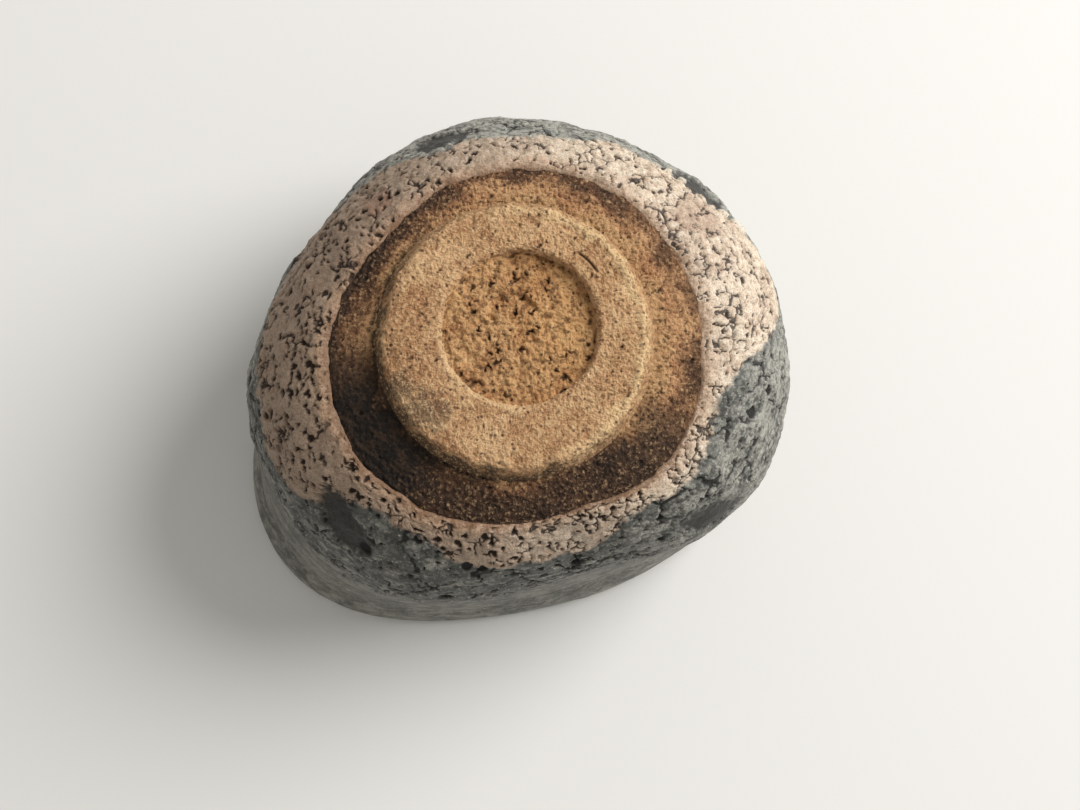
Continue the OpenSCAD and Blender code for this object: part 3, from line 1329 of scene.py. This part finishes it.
class ShoulderFinish(Finish):
    """Bare orange-brown clay, scorched towards the glaze."""

    def paint(self, skin: Skin) -> Paint:
        """Sandy clay with rusty and burnt sides, a painted highlight near the foot, and painted
        shade in the crevice by the foot ring and in the pits.

        Args:
            skin: The fields on the skin.

        Returns:
            What goes on the skin.
        """
        cloud = skin.noise(skin.at, 0.14, 3)
        sand = skin.noise(skin.at, 1.1, 3, 0.8)
        drag = skin.noise(skin.join(skin.radians * 10, skin.share * 36, 0.0), 1.0, 3, 0.6)
        over = skin.share / skin.bare() + (cloud - 0.5) * 1.1 + (drag - 0.5) * 0.7
        # Painted highlight: the clay near the foot is lighter on the sides towards the lamp.
        painted_highlight_near_foot = over.ease(0.55, 0.05) * skin.facing(40, 130, 40)
        brown = skin.mix(cloud.ease(0.4, 0.6), srgb(110, 70, 46), srgb(84, 54, 36))
        black = skin.mix(drag.ease(0.46, 0.6), srgb(20, 14, 10), srgb(62, 44, 30))
        burnt = self._scorched(skin, over, BURNT).high(over.ease(0.76, 1.02) * 0.55)
        # Painted shade in the crevice where the shoulder meets the foot ring, on the side away
        # from the lamp; it is laid on with the burnt black.
        painted_crevice_shade = skin.share.ease(0.05, 0.02) * skin.facing(205, 70, 25) * drag.ease(0.38, 0.5)
        pale = skin.wash(
            srgb(228, 190, 142),
            (burnt, srgb(176, 142, 108)),
            (skin.facing(207, 24, 12) * burnt, srgb(84, 64, 46)),
        )
        clay = skin.wash(
            skin.mix(cloud.ease(0.35, 0.65), srgb(214, 166, 120), srgb(190, 138, 96)),
            (painted_highlight_near_foot * 0.8, srgb(198, 158, 112)),
            (self._scorched(skin, over, RUSTY) * 0.9, brown),
            (burnt.high(painted_crevice_shade * 0.9), black),
            (sand.ease(0.54, 0.66) * 0.55, pale),
            (sand.ease(0.48, 0.38) * 0.7, srgb(40, 27, 19)),
        )
        clay = self.grains(skin, clay, pale, srgb(26, 17, 12))
        # Painted shade: the torn pits are painted near black.
        clay = skin.mix(self.named(skin, Mask.PIT) * 0.85, clay, srgb(32, 21, 15))
        return Paint(clay, 0.88, sand)

    @staticmethod
    def _scorched(skin: Skin, over: Socket, sides: Sequence[Scorch]) -> Socket:
        """How dark the fire left the clay.

        Args:
            skin: The fields on the skin.
            over: Share of the bare clay, from the foot to the glaze.
            sides: The darkened sides.

        Returns:
            The darkness, 0 to 1.
        """
        return highest([
            over.ease(side.start, side.full)
            * skin.facing(side.turn, side.half, side.soft)
            * side.strength
            for side in sides
        ])


@dataclass(frozen=True)
class Smudge:
    """A dark spot on the foot, from the middle of the foot, in millimetres."""

    x: float
    y: float
    r: float


SMUDGES = (Smudge(-19.2, -16.1, 5.0), Smudge(-24.7, -10.6, 3.5))


class FootFinish(Finish):
    """Pale tan clay of the foot ring, with smudges and pin holes."""

    def paint(self, skin: Skin) -> Paint:
        """Worn clay with painted highlights on the lit side of the ring's ridge and of the well's
        edge, painted shade on the far side of the outer edge and in the pin holes and scratch, and
        two smudges.

        Args:
            skin: The fields on the skin.

        Returns:
            What goes on the skin.
        """
        cloud = skin.noise(skin.at, 0.09, 2)
        blotch = skin.noise(skin.at, 0.3, 3, 0.6)
        sand = skin.noise(skin.at, 1.1, 3, 0.8)
        rough = (skin.noise(skin.at, 0.45, 3) - 0.5) * 3.2
        smudge = highest([self._spot(skin, smudge, rough) for smudge in SMUDGES])
        past_well = skin.from_foot(self.form.well_x, self.form.well_y)[0] - self.form.well_r
        # Painted highlight on the well's edge, on the side that faces the lamp.
        painted_well_edge_highlight = past_well.ease(-0.2, 0.3) * past_well.ease(1.7, 0.8) * skin.facing(215, 62, 25)
        edge = skin.from_foot()[0] + (blotch - 0.5) * 7
        # Painted highlight along the ridge of the ring's face, on the side towards the lamp.
        ridge = edge.ease(26.5, 28.6) * edge.ease(30.6, 29.2) * skin.facing(15, 75, 35)
        clay = skin.wash(
            skin.mix(cloud.ease(0.38, 0.62), srgb(226, 182, 136), srgb(206, 160, 115)),
            (blotch.ease(0.52, 0.66) * 0.6, srgb(222, 184, 138)),
            (blotch.ease(0.48, 0.34) * 0.6, srgb(166, 116, 76)),
            (skin.facing(205, 65, 40) * cloud.ease(0.45, 0.6) * 0.4, srgb(176, 124, 84)),
            (painted_well_edge_highlight * 0.6, srgb(238, 204, 156)),
            (smudge * 0.62, srgb(70, 60, 48)),
            (ridge * 0.8, srgb(240, 206, 156)),
            (edge.ease(28.8, 30.2) * skin.facing(30, 90, 40) * 0.5, srgb(168, 122, 80)),
            # Painted shade on the ring's outer edge, on the side away from the lamp.
            (edge.ease(29.0, 30.4) * skin.facing(225, 80, 30) * 0.85, srgb(58, 40, 28)),
            (sand.ease(0.53, 0.65) * 0.62, srgb(242, 210, 164)),
            (sand.ease(0.47, 0.37) * 0.6, srgb(96, 66, 42)),
        )
        clay = self.grains(skin, clay, srgb(218, 182, 136), srgb(86, 60, 40))
        # Painted shade: the pin holes and the scratch are painted dark.
        clay = skin.mix(self.named(skin, Mask.PIT) * 0.85, clay, srgb(50, 34, 24))
        return Paint(clay, 0.9, sand, reach=0.0013)

    @staticmethod
    def _spot(skin: Skin, smudge: Smudge, rough: Socket) -> Socket:
        """A round smudge with a rough edge."""
        far = skin.from_foot(smudge.x, smudge.y)[0] / smudge.r
        return (far * far + rough).ease(1.3, 0.2)


class WellFinish(Finish):
    """Torn clay in the well, warmer on one side, with painted shade in its pits."""

    def paint(self, skin: Skin) -> Paint:
        """Gritty clay with pale crumbs and dark tears.

        Args:
            skin: The fields on the skin.

        Returns:
            What goes on the skin.
        """
        grit = skin.noise(skin.at, 0.7, 1, 0.6)
        cloud = skin.noise(skin.at, 0.13, 2)
        sand = skin.noise(skin.at, 1.1, 3, 0.8)
        clay = skin.wash(
            skin.mix(cloud.ease(0.38, 0.62), srgb(218, 170, 118), srgb(194, 142, 94)),
            (skin.facing(20, 70, 40) * 0.3, srgb(208, 154, 92)),
            (grit.ease(0.52, 0.66) * 0.4, srgb(222, 182, 130)),
            (grit.ease(0.46, 0.34) * 0.6, srgb(98, 64, 40)),
            (sand.ease(0.54, 0.66) * 0.3, srgb(224, 184, 132)),
            (sand.ease(0.47, 0.36) * 0.6, srgb(72, 46, 30)),
        )
        clay = self.grains(skin, clay, srgb(236, 200, 150), srgb(40, 25, 16))
        # Painted shade: the tears are painted dark.
        clay = skin.mix(self.named(skin, Mask.PIT) * 0.9, clay, srgb(44, 28, 19))
        return Paint(clay, 0.92, sand)


# ---------------------------------------------------------------- the pieces


@dataclass
class Maker:
    """What every sub-assembly of the bowl shares.

    Args:
        form: The outline.
        middle: Where the potter's own origin is in the frame.
    """

    form: Outline
    middle: Vector

    def put(self, turn: float, share: float, depth: float) -> Vector:
        """A point of the outside in the frame, in millimetres."""
        return self.form.outside(turn, share, depth) + self.middle / MM

    def put_inside(self, turn: float, share: float, depth: float) -> Vector:
        """A point of the inside in the frame, in millimetres."""
        return self.form.inside(turn, share, depth) + self.middle / MM

    def disc(self, turn: float, r: float, z: float, x: float = 0.0, y: float = 0.0) -> Vector:
        """A point of a level ring round the middle of the foot, or beside it.

        Args:
            turn: Direction, in degrees.
            r: Radius of the ring.
            z: Height of the ring.
            x: How far the ring's middle is from the middle of the foot, along X.
            y: The same along Y.

        Returns:
            The point in the frame, in millimetres.
        """
        across = self.form.foot_x + x + r * math.cos(math.radians(turn))
        along = self.form.foot_y + y + r * math.sin(math.radians(turn))
        return Vector((across, along, z)) + self.middle / MM

    def share_out(self, piece: Any, share_at: Callable[[float, float], float]) -> None:
        """Turn each point's row into its share of the outside.

        Args:
            piece: The thrown object.
            share_at: The share in a direction at a row.
        """
        layer = piece.data.attributes[Mask.SHARE.value].data
        shares = []
        for vertex, row in zip(piece.data.vertices, layer):
            x, y = vertex.co.x - self.middle.x, vertex.co.y - self.middle.y
            shares.append(share_at(math.degrees(math.atan2(y, x)), row.value))
        layer.foreach_set("value", shares)

    @staticmethod
    def dress(piece: Any, material: Any) -> None:
        """Put a finish on a piece and report it.

        Args:
            piece: The object.
            material: Its finish.
        """
        piece.data.materials.clear()
        piece.data.materials.append(material)
        log.info("%s: %d faces", piece.name, len(piece.data.polygons))

    def settle(self, piece: Any, material: Any, node: str, slot: str) -> None:
        """Dress a piece, hang it under the root and hide the CAD node that it stands for.

        Args:
            piece: The finished object.
            material: Its finish.
            node: The CAD node that it replaces.
            slot: The record's material slot; it is not used.
        """
        self.dress(piece, material)
        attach(piece, "root")
        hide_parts(node)


@dataclass
class GlazeCoats(Maker):
    """The white band, the grey coat on the haunch and the grey coat on the wall.

    A coat's rows run from 0 at its upper edge to 1 at its lower edge.
    """

    band_rows: int = 17
    haunch_rows: int = 18
    wall_rows: int = 13
    lap: float = 0.02

    def build(self) -> None:
        """Make the three coats and dress them."""
        finish = GlazeFinish("crawled_glaze", self.form, self.middle, srgb(190, 180, 170)).make()
        t, end = self.form.glaze_t, self.form.rim_start + self.lap
        band = [(0.0, t), (0.008, t * 0.62), (0.03, t * 0.36), (0.06, t * 0.16)]
        band += [(row, 0.0) for row in steps(0.10, 1, self.band_rows)]
        band += [(1.05, 0.0), (1.055, 0.1), (1.055, t), (0.66, t), (0.33, t)]
        self._coat("white_crawled_glaze", band, self._band_share, finish, "white_glaze_band",
                   "white_glaze")
        haunch = [(-0.01, t), (-0.01, 0.1), (-0.008, 0.0)]
        haunch += [(row, 0.0) for row in steps(0, 1, self.haunch_rows)]
        haunch += [(1.02, 0.0), (1.023, 0.1), (1.023, t), (0.5, t)]
        self._coat("grey_glaze_haunch", haunch, self._haunch_share, finish, "grey_glaze_coat",
                   "grey_glaze")
        wall = [(0.985, t), (0.985, 0.1), (0.988, 0.0)]
        wall += [(row, 0.0) for row in steps(1, self.form.rim_start, self.wall_rows)]
        wall += [(end, 0.0), (end + 0.003, 0.1), (end + 0.003, t)]
        self._coat("grey_glaze_wall", wall, self._wall_share, finish, "grey_glaze_coat",
                   "grey_glaze", around=200)

    def _band_share(self, turn: float, row: float) -> float:
        """Share of the outside at a row of the white band."""
        return self.form.bare(turn) + (self.form.white(turn) - self.form.bare(turn)) * row

    def _haunch_share(self, turn: float, row: float) -> float:
        """Share of the outside at a row of the grey coat on the haunch."""
        return self.form.white(turn) * (1 - row) + row

    @staticmethod
    def _wall_share(turn: float, row: float) -> float:
        """Share of the outside at a row of the grey coat on the wall: the row itself."""
        return row

    def _coat(self, name: str, stations: list[Station], share_at: Callable[[float, float], float],
              finish: Any, node: str, slot: str, around: int = 240) -> None:
        """Throw, squeeze, share out and carve one coat.

        Args:
            name: The piece's name.
            stations: Row and depth of each ring.
            share_at: The share in a direction at a row.
            finish: The coat's finish.
            node: The CAD node that it replaces.
            slot: The record's material slot.
            around: Points in a ring before the mesh is refined.
        """

        def place(turn: float, row: float, depth: float) -> Vector:
            """Where a point of the coat goes."""
            return self.put(turn, share_at(turn, row), depth)

        piece = Thrown(name, stations, place, around).throw()
        self.share_out(piece, share_at)
        Carving(self.form, self.middle, self.form.glaze_t, True).apply(piece, glaze_relief)
        self.settle(piece, finish, node, slot)


@dataclass
class Lip(Maker):
    """The smooth glaze on the rim, over the lip and just inside."""

    rim_rows: int = 5
    round_rows: int = 8
    lap: float = 0.012

    def build(self) -> None:
        """Make the lip and dress it."""
        form = self.form
        t, start = form.glaze_t, form.rim_start - self.lap
        outer = [(share, 0.0) for share in steps(form.rim_start, 2, self.rim_rows)]
        over = [(2 + share, 0.0) for share in steps(0, 1, self.round_rows)[1:]]
        back = [(share, t) for share, _ in reversed(outer + over)]
        edge = [(start, t), (start, 0.1), (start + 0.003, 0.0)]
        piece = Thrown("rim_and_lip", edge + outer + over + back, self._place, 180).throw()
        Carving(form, self.middle, t, True).apply(piece, rim_relief)
        finish = RimFinish("rim_glaze", form, self.middle, srgb(140, 140, 136)).make()
        self.settle(piece, finish, "lip_glaze", "rim_glaze")

    def _place(self, turn: float, share: float, depth: float) -> Vector:
        """Where a point of the lip goes.

        Args:
            turn: Direction, in degrees.
            share: Share of the outside, then from 2 to 3 over the lip.
            depth: Depth under the outside.

        Returns:
            The point in the frame, in millimetres.
        """
        if share <= 2:
            return self.put(turn, share, depth)
        inner = depth * self.form.liner_t / self.form.glaze_t
        return self.form.lip(turn, min(share - 2, 1), depth, inner) + self.middle / MM


@dataclass
class Liner(Maker):
    """The glaze inside, down into the pool."""

    wall_rows: int = 12
    floor_rows: int = 12
    slope_end: float = 2.2

    def build(self) -> None:
        """Make the lining and dress it."""
        form = self.form
        rows = steps(0, 1, self.wall_rows) + steps(1, 2, self.floor_rows)[1:]
        rows += [2.07, 2.14, 2.2, 2.5, 2.8, 3.0]
        back = [(share, form.liner_t) for share in (3.0, 2.2, 2.0, 1.6, 1.3, 1.0, 0.5, 0.0)]
        stations = back + [(share, 0.0) for share in rows]
        piece = Thrown("inner_glaze", stations, self._place, 120, loop=False).throw()
        finish = RimFinish("inner_glaze", form, self.middle, srgb(140, 140, 136)).make()
        self.settle(piece, finish, "inner_glaze_coat", "inner_glaze")

    def _place(self, turn: float, share: float, depth: float) -> Vector:
        """Where a point of the lining goes.

        Args:
            turn: Direction, in degrees.
            share: Share of the inside, then from 2 to 3 into the pool.
            depth: Depth under the inside.

        Returns:
            The point in the frame, in millimetres.
        """
        form = self.form
        if share <= 2:
            return self.put_inside(turn, share, depth)
        slope = (share - 2) / (self.slope_end - 2)
        r = form.pool_r - form.pool_slope * slope
        if share >= self.slope_end:
            r = (form.pool_r - form.pool_slope) * (3 - share) / (3 - self.slope_end)
        z = form.floor_z - form.liner_t + depth + form.pool_depth * ease(slope)
        return self.disc(turn, r, z)


@dataclass
class Clay(Maker):
    """The bare shoulder and base, the foot ring, its rough well, and the wall."""

    shoulder_rows: int = 9
    face_rows: int = 10
    well_rows: int = 26
    foot_h: float = 5.5
    foot_draw: float = 0.9
    foot_bed: float = 5.2
    well_depth: float = 2.0
    well_lap: float = 0.7
    well_boss: float = 0.6
    well_tilt: float = -0.8
    tilt_turn: float = 45.0
    tilt_end: float = 4.0

    def build(self) -> None:
        """Make the clay that shows, dress it, and dress the wall under the glaze."""
        self._base()
        self._ring()
        self._well()
        finish = ShoulderFinish("wall_clay", self.form, self.middle, srgb(150, 105, 70)).make()
        self.dress(bpy.data.objects["clay_wall"], finish)

    def _base(self) -> None:
        """The slab with its shoulder, as far as the glaze and under it."""
        form, t = self.form, self.form.glaze_t
        rows = [-1.0, -0.4] + steps(0, 1, self.shoulder_rows)
        rows += [1.1, 1.5, 2.0, 2.001, 2.5, 3.0, 4.0]
        stations = [(row, t) for row in rows]
        piece = Thrown("bare_base", stations, self._base_place, 240, loop=False).throw()
        self.share_out(piece, lambda turn, row: form.bare(turn) * min(max(row, 0), 1.2))
        Carving(form, self.middle, 0).apply(piece, self._bare_relief)
        finish = ShoulderFinish("shoulder_clay", form, self.middle, srgb(150, 105, 70)).make()
        self.settle(piece, finish, "clay_base", "base_clay")

    def _base_place(self, turn: float, row: float, depth: float) -> Vector:
        """Where a point of the base goes.

        Args:
            turn: Direction, in degrees.
            row: -1 to 0 across the seat, then 1 at the glaze, 2 at the end of the
                white band, 3 at the edge of the pool and 4 at its middle.
            depth: Depth under the outside.

        Returns:
            The point in the frame, in millimetres.
        """
        form = self.form
        if row < 0:
            seat = self.put(turn, 0.0, depth)
            return seat.lerp(self.disc(turn, 0.0, seat.z), -row)
        if row <= 1:
            return self.put(turn, form.bare(turn) * row, depth)
        if row <= 2:
            start, end = form.bare(turn), form.white(turn)
            return self.put(turn, start + (end - start) * (row - 1), depth)
        if row <= 3:
            return self.put_inside(turn, 1.5 + (row - 2) / 2, form.liner_t)
        r = (form.pool_r - form.pool_slope) * (4 - row)
        return self.disc(turn, r, form.floor_z + form.pool_depth)

    @staticmethod
    def _bare_relief(skin: Skin) -> tuple[Socket, dict]:
        """The shoulder's relief, and none where the clay is hidden.

        Args:
            skin: The fields on the skin.

        Returns:
            The height in millimetres, and the masks to keep.
        """
        height, masks = shoulder_relief(skin)
        shown = skin.share.ease(0.0, 0.02) * (skin.share - skin.bare()).ease(0.0, -0.004)
        return height * shown, masks

    def _ring(self) -> None:
        """The foot ring, with the well's hole off its centre."""
        h = self.foot_h
        hole = [(0.0, h), (0.0, 3.4), (0.0, 2.2), (0.015, 1.3), (0.04, 0.7), (0.07, 0.25)]
        face = [(share, 0.0) for share in steps(0.10, 0.78, self.face_rows)]
        edge = [(0.87, 0.06), (0.92, 0.22), (0.955, 0.6), (0.975, 1.2), (0.99, 2.2), (1.0, 3.4)]
        edge += [(1.01, 4.5), (1.03, 5.1)]
        under = [(share, h) for share in (1.06, 1.0, 0.66, 0.33)]
        stations = hole + face + edge + under
        piece = Thrown("turned_foot_ring", stations, self._ring_place, 240).throw()
        Carving(self.form, self.middle, self.foot_bed).apply(piece, foot_relief)
        finish = FootFinish("foot_clay", self.form, self.middle, srgb(186, 150, 112)).make()
        self.settle(piece, finish, "foot_ring", "foot_clay")

    def _ring_place(self, turn: float, share: float, depth: float) -> Vector:
        """Where a point of the foot ring goes.

        Args:
            turn: Direction, in degrees.
            share: 0 at the well's hole and 1 at the outside of the ring.
            depth: Depth under the ring's face.

        Returns:
            The point in the frame, in millimetres.
        """
        form = self.form
        z = form.seat_z + self.foot_h - depth
        outer_r = form.foot_r - self.foot_draw * (1 - depth / self.foot_h)
        inner = self.disc(turn, form.well_r, z, form.well_x, form.well_y)
        return inner.lerp(self.disc(turn, outer_r, z), share)

    def _well(self) -> None:
        """The rough pad inside the ring."""
        stations = [(0.0, 3.4), (0.5, 3.4), (1.0, 3.4), (1.0, 1.5)]
        stations += [(share, 0.0) for share in steps(1, 0, self.well_rows)]
        piece = Thrown("torn_well", stations, self._well_place, 112, loop=False).throw()
        Carving(self.form, self.middle, 1.5).apply(piece, well_relief)
        finish = WellFinish("well_clay", self.form, self.middle, srgb(176, 130, 86)).make()
        self.settle(piece, finish, "foot_well", "well_clay")

    def _well_place(self, turn: float, share: float, depth: float) -> Vector:
        """Where a point of the pad goes.

        Args:
            turn: Direction, in degrees.
            share: 0 in its middle and 1 at its edge.
            depth: Depth under its face.

        Returns:
            The point in the frame, in millimetres.
        """
        form = self.form
        tilt = self.well_tilt * share * math.cos(math.radians(turn - self.tilt_turn))
        face = form.seat_z + self.foot_h - self.well_depth + self.well_boss * (1 - ease(share))
        z = face - depth + tilt * min(1.0, self.tilt_end - depth)
        r = (form.well_r + self.well_lap) * share
        return self.disc(turn, r, z, form.well_x, form.well_y)


@dataclass
class Studio:
    """Floor, soft light and camera.

    Args:
        middle: Where the potter's own origin is in the frame.
    """

    middle: Vector
    floor_size: float = 6.0
    room_light: float = 0.43
    light_size: float = 1.15
    light_power: float = 26.5
    light_at: tuple[float, float, float] = (1.1, 0.585, 0.975)
    light_aim: tuple[float, float, float] = (0.0, 0.0, 0.03)
    elevation: float = 84.0
    distance: float = 0.470
    focal_mm: float = 60.0
    aim_x: float = 0.005264
    aim_y: float = -0.005419

    def build(self) -> None:
        """Set the stage."""
        self._floor()
        self._lights()
        self._camera()

    def _floor(self) -> None:
        """A wide pale floor that the lip stands on."""
        bpy.ops.object.select_all(action="DESELECT")
        bpy.ops.mesh.primitive_plane_add(size=self.floor_size, location=(0, 0, 0))
        floor = bpy.context.object
        floor.name = "floor"
        material = bpy.data.materials.new("floor")
        material.use_nodes = True
        shader = material.node_tree.nodes["Principled BSDF"]
        shader.inputs["Base Color"].default_value = (*srgb(243, 243, 241), 1)
        shader.inputs["Roughness"].default_value = 0.9
        floor.data.materials.append(material)

    def _lights(self) -> None:
        """One large soft light from the upper right, and a pale room."""
        world = bpy.context.scene.world or bpy.data.worlds.new("room")
        bpy.context.scene.world = world
        world.use_nodes = True
        back = world.node_tree.nodes["Background"]
        back.inputs["Color"].default_value = (*srgb(240, 237, 230), 1)
        back.inputs["Strength"].default_value = self.room_light
        light = bpy.data.lights.new("window", "AREA")
        light.shape = "DISK"
        light.size = self.light_size
        light.energy = self.light_power
        light.color = (1.0, 0.985, 0.96)
        lamp = bpy.data.objects.new("window", light)
        bpy.context.scene.collection.objects.link(lamp)
        lamp.location = self.light_at
        beam = Vector(self.light_aim) - Vector(self.light_at)
        lamp.rotation_euler = beam.to_track_quat("-Z", "Y").to_euler()

    def _camera(self) -> None:
        """Look down on the foot from a hand's height above."""
        camera = bpy.data.cameras.new("camera")
        camera.lens = self.focal_mm
        camera.sensor_width = 36.0
        seen = bpy.data.objects.new("camera", camera)
        bpy.context.scene.collection.objects.link(seen)
        up = math.radians(self.elevation)
        aim = self.middle + Vector((self.aim_x, self.aim_y, 0))
        seen.location = aim + Vector((0, -math.cos(up), math.sin(up))) * self.distance
        seen.rotation_euler = (math.pi / 2 - up, 0, 0)
        bpy.context.scene.camera = seen


def main() -> None:
    logging.basicConfig(level=logging.INFO, format="%(asctime)s %(message)s")
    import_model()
    form = Outline()
    low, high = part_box("foot_ring")
    middle = (low + high) / 2 - Vector((form.foot_x, form.foot_y, 0)) * MM
    middle.z = 0.0
    bpy.context.scene.view_settings.view_transform = "Standard"
    for maker in (Clay, GlazeCoats, Lip, Liner):
        maker(form, middle).build()
    Studio(middle).build()


if __name__ == "__main__":
    main()
